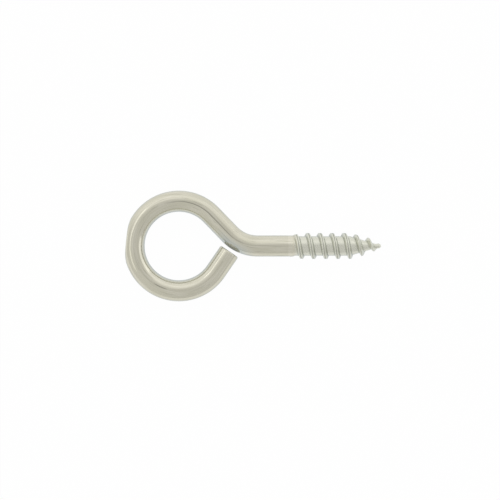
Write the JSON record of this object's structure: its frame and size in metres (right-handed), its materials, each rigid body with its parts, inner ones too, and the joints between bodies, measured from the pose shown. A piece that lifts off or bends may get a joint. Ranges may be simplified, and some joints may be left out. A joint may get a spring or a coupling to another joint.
{
  "type": "screw eye",
  "caption": "Screw eye of bent round wire: an open eye whose cut end closes against the neck, a plain shank and a wood-thread end with a gimlet point.",
  "frame": {"origin": "centre of the eye, in the middle plane of the wire", "axes": "+X along the shank from the eye to the point, +Y in the plane of the eye towards the side of its neck, +Z square to the eye, so that the part lies flat"},
  "size_m": [0.0499, 0.0214, 0.005],
  "materials": {
    "zinc_plate": "bright zinc plate with a pale straw passivate, satin"
  },
  "bodies": {
    "root": {"screw_eye": "zinc_plate"}
  },
  "joints": []
}
